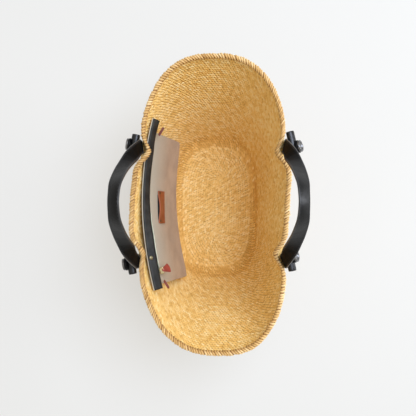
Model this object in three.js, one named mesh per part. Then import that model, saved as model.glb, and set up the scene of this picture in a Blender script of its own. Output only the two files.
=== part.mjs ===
// A woven straw basket bag with two flat leather handles and a zipped canvas pouch inside.
// Millimetres, +Z up. The origin is the centre of the base's underside, X runs across the
// bag and Y along it. The pouch hangs on the inside of the -X wall.
import * as THREE from 'three';

// Driving dimensions

const bag = {
  height: 285, // floor to the top of the rim border
  rimLength: 470,
  rimWidth: 247,
  rimSquareness: 2.6, // exponent of the outline: 2 is an ellipse, more is squarer
  baseLength: 268,
  baseWidth: 164,
  baseSquareness: 3.1,
  cornerRadius: 14, // where the base turns up into the wall
  belly: 0.04, // how far the wall bows out, as a share of its spread
  wall: 4, // twined straw
};
const border = { width: 9, height: 8, sides: 6, fullness: 0.7 }; // fullness: less is squarer
const pinch = {
  depth: 18, // how far a handle draws the rim in
  halfSpacing: 81, // from the bag's middle to the deepest point
  halfWidth: 18,
  fadeHeight: 37, // the pinch dies out this far below the rim
};
const strap = {
  width: 22,
  thickness: 3,
  rise: 149, // from the rim to the middle of the arch
  lean: 11, // how far the arch leans out
  faceTilt: 48, // degrees that the top of the arch turns outward
  endSpacing: 180, // between the centres of the two ends, along the rim
  tail: 58, // length that runs down outside the wall
};
const toggle = { diameter: 13, length: 34, bevel: 2.2, drop: 10 }; // rolled leather bar across each end
const washer = { diameter: 20, thickness: 3 };
const stud = { diameter: 18.5, thickness: 3.2, ring: 2.6, bevel: 0.8, well: 1.5, crown: 1.3 };
const pouch = {
  length: 252,
  height: 145,
  thickness: 14,
  canvas: 1.6,
  shift: -6, // along the bag, from its middle
  topDrop: 47, // from the rim to the pouch's mouth
  topBow: 18, // how far the line of its mouth bows with the wall
  topSkew: 1, // how far the back end of the mouth lies nearer the wall than the front end
  bottomBow: 20,
  bottomSkew: 6, // its front lower corner swings out, its back one in
  corner: 5, // rounding of its lower corners
  sideRoundness: 0.34, // 0 would be square sides, 1 pointed ones
  backRise: 0.8, // how far its back rises behind the strip, as a share of the strip's fall
};
const strip = { overhang: 13, width: 15, thickness: 2, backing: 0.8, backingLip: 1.2 };
const zip = { width: 5, thickness: 1.6 };
const slider = { length: 11, width: 7, thickness: 2.4, place: -111 };
const puller = { length: 15, narrow: 4, wide: 14, bulge: 2, thickness: 1.8, droop: 64, turn: 14 };
const label = { length: 55, height: 22, thickness: 1.8, drop: 34, place: -3.5, gape: 3 };
const labelRivet = { diameter: 5, thickness: 1.4, edge: 4 };
const endTab = { length: 14, width: 7, thickness: 1.8, overlap: 5, corner: 1.2 };
const stripRivet = { diameter: 7, thickness: 1.6, halfSpacing: 87, edge: 5 };
const gap = { seat: 0.35, layer: 0.5, pouch: 0.65, wall: 0.85 };
const stationSpacing = { pinched: 8.6, plain: 17.5 }; // between the stations round the outline
const roundSides = 16; // of toggles, discs, studs and rivets

// The rim sways from a true oval, as a hand-made basket does. Both columns are shares:
// along of the half length, sideways of the half width.
const sway = [
  { along: -1.0, sideways: 0.1 },
  { along: -0.8, sideways: 0.065 },
  { along: -0.5, sideways: 0.035 },
  { along: -0.2, sideways: -0.028 },
  { along: 0.0, sideways: -0.01 },
  { along: 0.2, sideways: 0.02 },
  { along: 0.5, sideways: 0.036 },
  { along: 0.8, sideways: 0.048 },
  { along: 1.0, sideways: 0.045 },
];

// Each handle end pinches the rim a little differently, in shares of the pinch.
const pinchRows = [
  { side: 1, end: 1, depth: 1.06, spacing: 1.035 },
  { side: 1, end: -1, depth: 1.08, spacing: 1.0 },
  { side: -1, end: 1, depth: 1.12, spacing: 1.035 },
  { side: -1, end: -1, depth: 0.84, spacing: 0.965 },
];

// The two handles: their lean and the turn of their face are shares of the strap's.
const handles = [
  { name: 'right', side: 1, lean: 1.25, turn: 0.97 },
  { name: 'left', side: -1, lean: 0.83, turn: 0.81 },
];

// Half a handle, from its end at the rim to the middle of the arch. run is the share of the
// half spacing that is left, reach the share of the lean, rise of the rise, turn of the face's turn.
const archRows = [
  { run: 1.0, reach: 0.0, rise: 0.0, turn: 0.0 },
  { run: 0.92, reach: 0.09, rise: 0.165, turn: 0.11 },
  { run: 0.8, reach: 0.255, rise: 0.36, turn: 0.37 },
  { run: 0.66, reach: 0.48, rise: 0.54, turn: 0.68 },
  { run: 0.48, reach: 0.745, rise: 0.76, turn: 0.85 },
  { run: 0.26, reach: 0.94, rise: 0.94, turn: 0.93 },
  { run: 0.0, reach: 1.0, rise: 1.0, turn: 1.0 },
];

// The four handle ends. yaw turns the toggle and stud towards the handle's middle and tilt turns
// the stud up, both in degrees. slip is how far the toggle lies from the strap's middle towards
// the bag's end, and slide how far the stud lies from the toggle's towards the handle's middle,
// as shares of the toggle's length.
const handleEnds = [
  { name: 'right_back', side: 1, end: 1, yaw: -13, tilt: 26, slip: 0.1, slide: 0.26 },
  { name: 'right_front', side: 1, end: -1, yaw: 12, tilt: 26, slip: 0, slide: 0.14 },
  { name: 'left_back', side: -1, end: 1, yaw: -9, tilt: 4, slip: 0.03, slide: 0 },
  { name: 'left_front', side: -1, end: -1, yaw: -10, tilt: 2, slip: 0.03, slide: 0 },
];

// The pouch's front from its bottom seam to its mouth: up is the share of the height, fullness
// the share of the thickness and inset the share of the corner rounding.
const pouchRows = [
  { up: 0.0, fullness: 0.0, inset: 1.0 },
  { up: 0.015, fullness: 0.5, inset: 0.45 },
  { up: 0.05, fullness: 0.8, inset: 0.17 },
  { up: 0.14, fullness: 0.97, inset: 0.03 },
  { up: 0.4, fullness: 1.08, inset: 0 },
  { up: 0.7, fullness: 1.06, inset: 0 },
  { up: 0.9, fullness: 1.02, inset: 0 },
  { up: 1.0, fullness: 1.0, inset: 0 },
];

// The mouth along the strip, as shares of its half length: slope is how steeply the strip falls
// towards the bag's middle in degrees, open the share of the zip's width that lies bare beside it.
const mouthRows = [
  { along: -1.0, slope: 40, open: 0.0 },
  { along: -0.9, slope: 38, open: 0.2 },
  { along: -0.76, slope: 35, open: 0.55 },
  { along: -0.62, slope: 33, open: 0.45 },
  { along: -0.44, slope: 36, open: 0.3 },
  { along: -0.16, slope: 51, open: 0.25 },
  { along: 0.12, slope: 57, open: 0.05 },
  { along: 0.6, slope: 57, open: 0.0 },
  { along: 0.8, slope: 64, open: 0.0 },
  { along: 0.93, slope: 62, open: 0.3 },
  { along: 1.0, slope: 60, open: 0.3 },
];

// Half the slider's outline, as shares of its half length and half width.
const sliderRows = [
  { along: -1.0, across: 0.6 },
  { along: -0.5, across: 1.0 },
  { along: 0.6, across: 1.0 },
  { along: 1.0, across: 0.5 },
];

// Materials

const straw = new THREE.MeshStandardMaterial({ color: 0xd9ae6c, roughness: 0.75 });
const leather = new THREE.MeshStandardMaterial({ color: 0x232324, roughness: 0.5 });
const gunmetal = new THREE.MeshStandardMaterial({ color: 0x8c8c8e, roughness: 0.35, metalness: 0.9 });
const canvas = new THREE.MeshStandardMaterial({ color: 0xb8a68b, roughness: 0.9 });
const tan = new THREE.MeshStandardMaterial({ color: 0x99492b, roughness: 0.55 });
const red = new THREE.MeshStandardMaterial({ color: 0x95352b, roughness: 0.55 });
const brass = new THREE.MeshStandardMaterial({ color: 0xc3ad74, roughness: 0.35, metalness: 0.9 });

// Small helpers

const radians = THREE.MathUtils.degToRad;
const mix = THREE.MathUtils.lerp;
const smooth = (t) => THREE.MathUtils.smoothstep(t, 0, 1);

// Value of a table's column where another column has the value t, eased between the rows.
function column(rows, key, t, value) {
  const rising = rows[rows.length - 1][key] > rows[0][key];
  const list = rising ? rows : [...rows].reverse();
  if (t <= list[0][key]) return list[0][value];
  for (let i = 1; i < list.length; i += 1) {
    const [a, b] = [list[i - 1], list[i]];
    if (t <= b[key]) return mix(a[value], b[value], smooth((t - a[key]) / (b[key] - a[key])));
  }
  return list[list.length - 1][value];
}

// A closed mesh from a list of points and a list of triangles, turned so that its faces point out.
function solid(points, triangles) {
  const at = (i) => points[i];
  let volume = 0;
  for (const [a, b, c] of triangles) volume += at(a).dot(at(b).clone().cross(at(c)));
  const index = triangles.flatMap(([a, b, c]) => (volume > 0 ? [a, b, c] : [a, c, b]));
  const geometry = new THREE.BufferGeometry();
  const numbers = points.flatMap((p) => [p.x, p.y, p.z]);
  geometry.setAttribute('position', new THREE.Float32BufferAttribute(numbers, 3));
  geometry.setIndex(index);
  geometry.computeVertexNormals();
  return geometry;
}

// Skins a stack of rings that have the same number of points, and closes both ends flat.
function loft(rings) {
  const count = rings[0].length;
  const points = rings.flat();
  const triangles = [];
  for (let r = 0; r + 1 < rings.length; r += 1) {
    for (let i = 0; i < count; i += 1) {
      const j = (i + 1) % count;
      const [a, b] = [r * count + i, r * count + j];
      triangles.push([a, b, b + count], [a, b + count, a + count]);
    }
  }
  for (const [first, turn] of [[0, false], [(rings.length - 1) * count, true]]) {
    const middle = new THREE.Vector3();
    for (let i = 0; i < count; i += 1) middle.add(points[first + i]);
    points.push(middle.divideScalar(count));
    const hub = points.length - 1;
    for (let i = 0; i < count; i += 1) {
      const [a, b] = [first + i, first + ((i + 1) % count)];
      triangles.push(turn ? [a, b, hub] : [b, a, hub]);
    }
  }
  return solid(points, triangles);
}

// Skins rings that follow each other round a closed loop.
function loftLoop(rings) {
  const count = rings[0].length;
  const points = rings.flat();
  const triangles = [];
  for (let r = 0; r < rings.length; r += 1) {
    const next = ((r + 1) % rings.length) * count;
    for (let i = 0; i < count; i += 1) {
      const j = (i + 1) % count;
      triangles.push([r * count + i, r * count + j, next + j], [r * count + i, next + j, next + i]);
    }
  }
  return solid(points, triangles);
}

// A closed sheet between two grids of points, rows by columns, that match point for point.
function plate(front, back) {
  const [rows, columns] = [front.length, front[0].length];
  const points = [...front.flat(), ...back.flat()];
  const at = (r, c) => r * columns + c;
  const behind = (r, c) => rows * columns + at(r, c);
  const triangles = [];
  const quad = (a, b, c, d) => triangles.push([a, b, c], [a, c, d]);
  for (let r = 0; r + 1 < rows; r += 1) {
    for (let c = 0; c + 1 < columns; c += 1) {
      quad(at(r, c), at(r, c + 1), at(r + 1, c + 1), at(r + 1, c));
      quad(behind(r, c), behind(r + 1, c), behind(r + 1, c + 1), behind(r, c + 1));
    }
  }
  for (let r = 0; r + 1 < rows; r += 1) {
    const last = columns - 1;
    quad(at(r, 0), at(r + 1, 0), behind(r + 1, 0), behind(r, 0));
    quad(at(r, last), behind(r, last), behind(r + 1, last), at(r + 1, last));
  }
  for (let c = 0; c + 1 < columns; c += 1) {
    const last = rows - 1;
    quad(at(0, c), behind(0, c), behind(0, c + 1), at(0, c + 1));
    quad(at(last, c), at(last, c + 1), behind(last, c + 1), behind(last, c));
  }
  return solid(points, triangles);
}

// A band along a row of stations, each with a centre, a unit vector across the band and a unit
// vector out of its face. Its section is a list of [across, out] points.
function band(stations, section) {
  return loft(stations.map(({ centre, across, face }) => section.map(([u, v]) => (
    centre.clone().addScaledVector(across, u).addScaledVector(face, v)))));
}

function softEdged(width, thickness) {
  const [w, t] = [width / 2, thickness / 2];
  const soft = t * 0.6;
  return [[-w, -t + soft], [-w + soft, -t], [w - soft, -t], [w, -t + soft],
    [w, t - soft], [w - soft, t], [-w + soft, t], [-w, t - soft]];
}

function sharpEdged(width, thickness) {
  const [w, t] = [width / 2, thickness / 2];
  return [[-w, -t], [0, -t], [w, -t], [w, t], [0, t], [-w, t]];
}

function named(name, geometry, material) {
  const mesh = new THREE.Mesh(geometry, material);
  mesh.name = name;
  return mesh;
}

// The basket's form

const wallTop = bag.height - border.height - gap.seat;

function swayAt(share) {
  return column(sway, 'along', share, 'sideways') * (bag.rimWidth / 2);
}

// Half length, half width and squareness of the outer wall at a height.
function level(z) {
  const t = THREE.MathUtils.clamp(z / bag.height, 0, 1);
  const spread = t + bag.belly * 4 * t * (1 - t);
  const corner = THREE.MathUtils.clamp(1 - z / bag.cornerRadius, 0, 1);
  const inset = bag.cornerRadius * (1 - Math.sqrt(1 - corner * corner));
  return {
    length: mix(bag.baseLength, bag.rimLength, spread) / 2 - inset,
    width: mix(bag.baseWidth, bag.rimWidth, spread) / 2 - inset,
    squareness: mix(bag.baseSquareness, bag.rimSquareness, t),
    pinch: pinch.depth * smooth((z - bag.height + pinch.fadeHeight) / pinch.fadeHeight),
    sway: spread,
  };
}

// How far the handles draw the wall in, at a share of the half length: each pinch falls off
// quickly towards the bag's middle and slowly towards its end.
function pinchAt(side, share, at) {
  const row = pinchRows.find((each) => each.side * side >= 0 && each.end * share >= 0);
  const off = (Math.abs(share) * bag.rimLength / 2 - pinch.halfSpacing * row.spacing) / pinch.halfWidth;
  return at.pinch * row.depth * (off < 0 ? Math.exp(-off * off) : 1 / (1 + off * off));
}

// Point of the outline at an angle round it, moved inward by an inset.
function outlinePoint(angle, z, inset = 0) {
  const at = level(z);
  const [c, s] = [Math.cos(angle), Math.sin(angle)];
  const power = 2 / at.squareness;
  const share = Math.sign(s) * Math.abs(s) ** power;
  const flank = Math.sign(c) * Math.abs(c) ** power;
  const across = flank * (at.width - inset) - Math.sign(c) * pinchAt(c, share, at);
  return new THREE.Vector3(across + swayAt(share) * at.sway, share * (at.length - inset), z);
}

// Heights of the rings that the wall is skinned through, closer where the handles pinch it.
function ringHeights() {
  const cornerSteps = 3;
  const wallShares = [0.3, 0.56, 0.76];
  const pinchShares = [1, 0.62, 0.36];
  const list = [];
  for (let k = 0; k <= cornerSteps; k += 1) {
    list.push(bag.cornerRadius * (1 - Math.cos((k / cornerSteps) * (Math.PI / 2))));
  }
  for (const share of wallShares) list.push(share * bag.height);
  for (const share of pinchShares) list.push(bag.height - share * pinch.fadeHeight);
  return [...list, wallTop];
}
const heights = ringHeights();

// Where the skinned wall is across the bag at a place along it: side is 1 or -1.
function wallX(side, y, z, inset = 0) {
  const next = Math.max(heights.findIndex((height) => height >= z), 1);
  const [low, high] = [heights[next - 1], heights[next]];
  const limit = 0.999;
  const [a, b] = [low, high].map((height) => {
    const at = level(height);
    const share = THREE.MathUtils.clamp(y / (at.length - inset), -limit, limit);
    const flank = (1 - Math.abs(share) ** at.squareness) ** (1 / at.squareness);
    return side * (flank * (at.width - inset) - pinchAt(side, share, at)) + swayAt(share) * at.sway;
  });
  return mix(a, b, (z - low) / (high - low));
}

// Angles of the stations round the outline, closer together where the handles pinch it.
function stationAngles() {
  const steps = 2000;
  const quarter = [0];
  let walked = 0;
  let last = outlinePoint(0, bag.height);
  for (let k = 1; k < steps; k += 1) {
    const angle = (k / steps) * (Math.PI / 2);
    const here = outlinePoint(angle, bag.height);
    walked += here.distanceTo(last);
    last = here;
    const near = Math.abs(Math.abs(here.y) - pinch.halfSpacing) < 2 * pinch.halfWidth;
    if (walked >= (near ? stationSpacing.pinched : stationSpacing.plain)) {
      quarter.push(angle);
      walked = 0;
    }
  }
  const half = [...quarter, Math.PI / 2, ...quarter.slice(1).reverse().map((a) => Math.PI - a)];
  return [...half, ...half.map((a) => a + Math.PI)];
}
const angles = stationAngles();

// A ring of the wall at a height, moved inward and lifted.
function ring(z, inset = 0, lift = 0) {
  return angles.map((a) => outlinePoint(a, z, inset).setZ(z + lift));
}

// Wall and base are one piece of straw: up the outside, over the top edge and down the inside.
function basketBody() {
  const outside = heights.map((z) => ring(z));
  const lift = (z) => bag.wall * Math.max(1 - z / bag.cornerRadius, 0);
  const inside = heights.slice(1).reverse().map((z) => ring(z, bag.wall, lift(z)));
  const floorInset = bag.wall * 1.6; // rounds the corner inside
  return loft([...outside, ...inside, ring(0, floorInset, bag.wall)]);
}

// The whipped border that finishes the rim: a flat-bottomed coil on the wall's top edge.
function rimBorder() {
  const rings = angles.map((angle) => {
    const outer = outlinePoint(angle, wallTop);
    const inner = outlinePoint(angle, wallTop, bag.wall);
    const middle = outer.clone().add(inner).divideScalar(2);
    const out = outer.clone().sub(inner).setZ(0).normalize();
    const section = [];
    for (let k = 0; k <= border.sides; k += 1) {
      const turn = Math.PI * (k / border.sides);
      section.push(middle.clone()
        .addScaledVector(out, Math.cos(turn) * border.width / 2)
        .setZ(wallTop + gap.seat + Math.sin(turn) ** border.fullness * border.height));
    }
    return section;
  });
  return loftLoop(rings);
}

// Handles

// A flat thing of some width laid against the outside of the wall between two places along it,
// clear of the wall by a gap: its two corners and the direction out of the wall.
function seatOutside(side, nearY, farY, z, clear) {
  const overhang = z > wallTop - border.height ? (border.width - bag.wall) / 2 : 0;
  const reach = (y) => new THREE.Vector3(wallX(side, y, Math.min(z, wallTop)) + side * overhang, y, 0);
  const [near, far] = [reach(nearY), reach(farY)];
  const along = far.clone().sub(near).normalize();
  const out = new THREE.Vector3(along.y, -along.x, 0);
  if (out.x * side < 0) out.negate();
  let lift = 0;
  const samples = 8;
  for (let k = 0; k <= samples; k += 1) {
    lift = Math.max(lift, reach(mix(nearY, farY, k / samples)).sub(near).dot(out));
  }
  const centre = near.clone().add(far).divideScalar(2).addScaledVector(out, lift + clear).setZ(z);
  return { centre, along, out };
}

// Where one end of a handle meets the wall at a height.
function strapSeat(side, end, z) {
  const middle = end * strap.endSpacing / 2;
  const half = strap.width / 2;
  return seatOutside(side, middle - end * half, middle + end * half, z, gap.wall + strap.thickness / 2);
}

// Stations of the whole strap, from the foot of one tail over the arch to the other foot.
function strapStations({ side, lean, turn }) {
  const archSteps = 13;
  const foot = bag.height - strap.tail;
  const tailHeights = [foot, ...heights.filter((z) => z > foot + strap.thickness)];
  const tops = [1, -1].map((end) => strapSeat(side, end, bag.height));
  const summitX = (tops[0].centre.x + tops[1].centre.x) / 2 + side * lean * strap.lean;
  const tilt = radians(strap.faceTilt * turn);
  const flat = new THREE.Vector3(side * Math.cos(tilt), 0, -Math.sin(tilt));
  const halves = [1, -1].map((end, i) => {
    const top = tops[i];
    const list = [];
    for (const z of tailHeights) {
      const seat = strapSeat(side, end, z);
      list.push({ centre: seat.centre, across: seat.along });
    }
    for (let k = 0; k <= archSteps; k += 1) {
      const run = Math.cos((k / archSteps) * (Math.PI / 2));
      list.push({
        centre: new THREE.Vector3(
          mix(top.centre.x, summitX, archValue(run, 'reach')),
          top.centre.y * run,
          bag.height + strap.rise * archValue(run, 'rise'),
        ),
        across: top.along.clone().lerp(flat, archValue(run, 'turn')).normalize(),
      });
    }
    return list;
  });
  const whole = [...halves[0], ...halves[1].slice(0, -1).reverse()];
  return whole.map((station, i) => {
    const before = whole[Math.max(i - 1, 0)].centre;
    const after = whole[Math.min(i + 1, whole.length - 1)].centre;
    const along = after.clone().sub(before).normalize();
    const across = station.across.clone();
    if (across.x * side < 0) across.negate();
    across.addScaledVector(along, -across.dot(along)).normalize();
    return { centre: station.centre, across, face: along.clone().cross(across).normalize() };
  });
}

// A column of the arch table, drawn as one smooth curve instead of eased steps.
function archValue(run, value) {
  const curve = new THREE.SplineCurve(archRows.map((row) => new THREE.Vector2(1 - row.run, row[value])));
  const [target, steps] = [1 - run, 200];
  let last = curve.getPoint(0);
  for (let k = 1; k <= steps; k += 1) {
    const here = curve.getPoint(k / steps);
    if (here.x >= target) {
      const span = Math.max(here.x - last.x, 1e-9);
      return mix(last.y, here.y, THREE.MathUtils.clamp((target - last.x) / span, 0, 1));
    }
    last = here;
  }
  return last.y;
}

function handleStrap(handle) {
  const section = softEdged(strap.width, strap.thickness);
  return named(`handle_strap_${handle.name}`, band(strapStations(handle), section), leather);
}

// How far out the rim border and a strap's outer face reach, in a level direction, beside one end.
function handleEndReach(side, end, middle, direction) {
  const z = bag.height - toggle.drop;
  const seat = strapSeat(side, end, z);
  const points = softEdged(strap.width, strap.thickness).map(([u, v]) => (
    seat.centre.clone().addScaledVector(seat.along, u).addScaledVector(seat.out, v)));
  const samples = 16;
  for (let k = 0; k <= samples; k += 1) {
    const y = middle + (toggle.length - 2 * toggle.bevel) * (k / samples - 0.5);
    points.push(new THREE.Vector3(wallX(side, y, wallTop) + side * (border.width - bag.wall) / 2, y, 0));
  }
  return Math.max(...points.map((p) => p.dot(direction)));
}

// The toggle, washer and stud at one handle end, stacked outward from the strap.
function handleEnd({ name, side, end, yaw, tilt, slip, slide }) {
  const heading = (side > 0 ? 0 : Math.PI) - side * end * radians(yaw);
  const out = new THREE.Vector3(Math.cos(heading), Math.sin(heading), 0);
  const middle = strapSeat(side, end, bag.height - toggle.drop).centre;
  middle.y += end * slip * toggle.length;
  const reach = handleEndReach(side, end, middle.y, out) + gap.seat + toggle.diameter / 2;
  const group = new THREE.Group();
  group.position.copy(middle).addScaledVector(out, reach - middle.dot(out));
  group.rotation.z = heading;
  group.add(named(`toggle_${name}`, toggleBar(), leather));
  const face = new THREE.Group();
  face.rotation.y = -radians(tilt);
  face.position.y = -side * end * slide * toggle.length;
  const foot = toggle.diameter / 2 + gap.seat;
  const backing = named(`washer_${name}`, washerDisc(), leather);
  backing.position.x = foot + washer.thickness / 2;
  const cap = named(`stud_${name}`, studCap(), gunmetal);
  cap.position.x = foot + washer.thickness + gap.seat;
  face.add(backing, cap);
  group.add(face);
  return group;
}

// A round piece turned from a profile of [radius, height] points, its axis along Y.
function turned(profile) {
  return new THREE.LatheGeometry(profile.map(([x, y]) => new THREE.Vector2(x, y)), roundSides);
}

// Profile of a cylinder with its edges broken.
function rodProfile(diameter, length, soft) {
  const [r, h] = [diameter / 2, length / 2];
  return [[0, -h], [r - soft, -h], [r, -h + soft], [r, h - soft], [r - soft, h], [0, h]];
}

// A bar rolled from leather, lying along Y.
function toggleBar() {
  return turned(rodProfile(toggle.diameter, toggle.length, toggle.bevel));
}

// A leather disc, its axis along X.
function washerDisc() {
  const profile = rodProfile(washer.diameter, washer.thickness, washer.thickness / 5);
  return turned(profile).rotateZ(-Math.PI / 2);
}

// The stud's cap: a raised ring round a shallow crown, its foot on the YZ plane.
function studCap() {
  const [r, t] = [stud.diameter / 2, stud.thickness];
  const inner = r - stud.ring - stud.bevel;
  const crownRise = (share) => stud.well + stud.crown * (1 - share * share);
  const profile = [[0, 0], [r, 0], [r, t - stud.bevel], [r - stud.bevel, t], [r - stud.ring, t],
    [inner, crownRise(1)], [inner / 2, crownRise(1 / 2)], [0, crownRise(0)]];
  return turned(profile).rotateZ(-Math.PI / 2);
}

// The pouch

const mouthZ = bag.height - pouch.topDrop;
const bottomZ = mouthZ - pouch.height;
const seamDepth = pouch.canvas + gap.seat;
const stripRaise = gap.seat + zip.thickness + gap.seat;
const backingWidth = strip.width + strip.backingLip;
const stripLift = strip.backing + gap.layer;
const stripLength = pouch.length + 2 * strip.overhang;

// Line that the pouch's back follows at a height: bowed as the pouch is, and clear of the wall
// there and, at the mouth, up to where the strip's rear edge can reach.
function backLine(z) {
  const up = THREE.MathUtils.clamp((z - bottomZ) / pouch.height, 0, 1);
  const bow = mix(pouch.bottomBow, pouch.topBow, up);
  const skew = mix(pouch.bottomSkew, pouch.topSkew, up);
  const half = stripLength / 2;
  const curve = (y) => bow * (y / half) ** 2 - skew * (y / half);
  let clear = -Infinity;
  const samples = 56;
  for (let k = 0; k <= samples; k += 1) {
    const y = mix(-half, half, k / samples);
    for (const height of [z, z + strip.width * up ** 4]) {
      clear = Math.max(clear, wallX(-1, y, height, bag.wall) - curve(y));
    }
  }
  return (y) => clear + gap.pouch + curve(y);
}

// The strip's slope in radians, the backing's width seen from above and how far it falls, and how
// much of the zip lies bare beside it.
function mouthAt(y) {
  const along = y / (stripLength / 2);
  const slope = radians(column(mouthRows, 'along', along, 'slope'));
  return {
    slope,
    run: backingWidth * Math.cos(slope),
    fall: backingWidth * Math.sin(slope),
    open: column(mouthRows, 'along', along, 'open') * zip.width,
  };
}
const mouthDepth = (y) => mouthAt(y).run + mouthAt(y).open;

// Half the pouch's length in one of its rows.
function pouchHalf(row, inset) {
  return pouch.length / 2 - pouch.corner * row.inset - inset;
}

// How far the pouch's front stands from the back line at a place along it, for one of its rows.
function frontReach(row, y, inset) {
  const share = Math.min(Math.abs(y - pouch.shift) / pouchHalf(row, inset), 1);
  const full = mix(pouch.thickness * row.fullness, mouthDepth(y), row.up ** 2);
  const side = (1 - share ** (1 / pouch.sideRoundness)) ** (pouch.sideRoundness / 2);
  return seamDepth + Math.max(full - inset - seamDepth, 0) * side;
}

// Outer or inner face of the pouch's front, which turns back to the seam at its sides and bottom.
function frontFace(inset) {
  const steps = 22;
  return pouchRows.map((row) => {
    const z = bottomZ + mix(inset, pouch.height, row.up);
    const back = backLine(z);
    const face = [];
    for (let k = 0; k <= steps; k += 1) {
      const y = pouch.shift + Math.cos(Math.PI * (k / steps)) * pouchHalf(row, inset);
      face.push(new THREE.Vector3(back(y) + frontReach(row, y, inset), y, z));
    }
    return face;
  });
}

// Where the front's outer face is at a place along it and a height, between two of its rows.
function frontX(y, z) {
  const up = (z - bottomZ) / pouch.height;
  const next = Math.max(pouchRows.findIndex((row) => row.up >= up), 1);
  const [low, high] = [pouchRows[next - 1], pouchRows[next]];
  const at = (row) => backLine(bottomZ + row.up * pouch.height)(y) + frontReach(row, y, 0);
  return mix(at(low), at(high), (up - low.up) / (high.up - low.up));
}

// Front or rear face of the pouch's back, whose top edge follows the strip's rear edge.
function backFace(depth) {
  const steps = 18;
  const line = (row, raise) => {
    const z = bottomZ + row.up * pouch.height;
    const back = backLine(z);
    const face = [];
    for (let k = 0; k <= steps; k += 1) {
      const y = pouch.shift + pouchHalf(row, 0) * (1 - 2 * (k / steps));
      face.push(new THREE.Vector3(back(y) + depth, y, z + raise(y)));
    }
    return face;
  };
  const rows = pouchRows.map((row) => line(row, () => 0));
  const top = line(pouchRows[pouchRows.length - 1], (y) => mouthAt(y).fall * pouch.backRise);
  return [...rows, top];
}

// Station on the pouch's mouth at a place along the bag: across points down the strip's slope,
// edge is its inner edge and face its upward normal.
function mouthStation(y) {
  const back = backLine(mouthZ);
  const { slope, run } = mouthAt(y);
  const step = 1;
  const ahead = new THREE.Vector3(back(y + step) - back(y - step), 2 * step, 0).normalize();
  const level = new THREE.Vector3(ahead.y, -ahead.x, 0);
  const across = level.clone().multiplyScalar(Math.cos(slope)).setZ(-Math.sin(slope));
  const edge = new THREE.Vector3(back(y), y, mouthZ).addScaledVector(level, run);
  return { ahead, level, across, edge, face: across.clone().cross(ahead).normalize() };
}

// A band laid on the strip's slope from end to end, back from the strip's inner edge.
function slopedBand(width, thickness, lift) {
  const steps = 52;
  const stations = [];
  for (let k = 0; k <= steps; k += 1) {
    const { edge, across, face } = mouthStation(stripLength * (k / steps - 0.5));
    const centre = edge.clone().addScaledVector(across, -width / 2)
      .addScaledVector(face, lift + thickness / 2);
    centre.z += stripRaise;
    stations.push({ centre, across, face });
  }
  return band(stations, sharpEdged(width, thickness));
}

// The zip lies level on the front's top edge, under the strip where the strip covers it.
function zipTape() {
  const steps = 20;
  const half = pouch.length / 2;
  const stations = [];
  for (let k = 0; k <= steps; k += 1) {
    const y = mix(pouch.shift - half, pouch.shift + half, k / steps);
    const { edge, level, ahead } = mouthStation(y);
    const centre = edge.clone().addScaledVector(level, mouthAt(y).open - zip.width / 2);
    centre.z += gap.seat + zip.thickness / 2;
    stations.push({ centre, across: level, face: level.clone().cross(ahead) });
  }
  return band(stations, sharpEdged(zip.width, zip.thickness));
}

// A flat plate cut from an outline of [along, across] points, its underside on the XY plane.
function cutPlate(outline, thickness) {
  const shape = new THREE.Shape(outline.map(([x, y]) => new THREE.Vector2(x, y)));
  return new THREE.ExtrudeGeometry(shape, { depth: thickness, bevelEnabled: false });
}

// Stands a group at a point with its X axis along one direction and its Z axis near another.
function standAt(point, xAxis, zAxis) {
  const x = xAxis.clone().normalize();
  const y = zAxis.clone().cross(x).normalize();
  const group = new THREE.Group();
  group.matrix.makeBasis(x, y, x.clone().cross(y)).setPosition(point);
  group.matrix.decompose(group.position, group.quaternion, group.scale);
  return group;
}

// Seat of a small flat piece on the zip, just clear of the strip's inner edge over its own length.
function seatBesideStrip(y, length, width) {
  const { edge, level, ahead } = mouthStation(y);
  const samples = 6;
  let reach = 0;
  for (let k = 0; k <= samples; k += 1) {
    const beside = y + length * (k / samples - 0.5);
    const overhang = Math.sin(mouthAt(beside).slope) * (stripLift + strip.thickness);
    reach = Math.max(reach, mouthStation(beside).edge.sub(edge).dot(level) + overhang);
  }
  const seat = edge.clone().addScaledVector(level, reach + gap.seat + width / 2);
  seat.z += stripRaise;
  return { seat, level, ahead };
}

// Slider and its leather puller, which stands out from the zip and droops.
function zipSlider() {
  const group = new THREE.Group();
  const { seat, level, ahead } = seatBesideStrip(slider.place, slider.length, slider.width);
  const [l, w] = [slider.length / 2, slider.width / 2];
  const body = standAt(seat, ahead, new THREE.Vector3(0, 0, 1));
  const half = sliderRows.map((row) => [l * row.along, w * row.across]);
  const outline = [...half, ...half.map(([x, y]) => [x, -y]).reverse()];
  body.add(named('zip_slider', cutPlate(outline, slider.thickness), brass));
  group.add(body);
  const [droop, turn] = [radians(puller.droop), radians(puller.turn)];
  const way = level.clone().multiplyScalar(Math.cos(turn)).addScaledVector(ahead, Math.sin(turn));
  const down = way.clone().multiplyScalar(Math.cos(droop)).setZ(-Math.sin(droop));
  const normal = way.clone().multiplyScalar(Math.sin(droop)).setZ(Math.cos(droop));
  const root = seat.clone().addScaledVector(level, w + gap.seat);
  root.z += slider.thickness;
  const fan = [];
  const arcSteps = 8;
  for (let k = 0; k <= arcSteps; k += 1) {
    const share = 2 * (k / arcSteps) - 1;
    fan.push([puller.length - puller.bulge * share * share, share * puller.wide / 2]);
  }
  const hang = standAt(root, down, normal);
  const shape = [[0, puller.narrow / 2], [0, -puller.narrow / 2], ...fan];
  hang.add(named('zip_puller', cutPlate(shape, puller.thickness), red));
  group.add(hang);
  return group;
}

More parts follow.
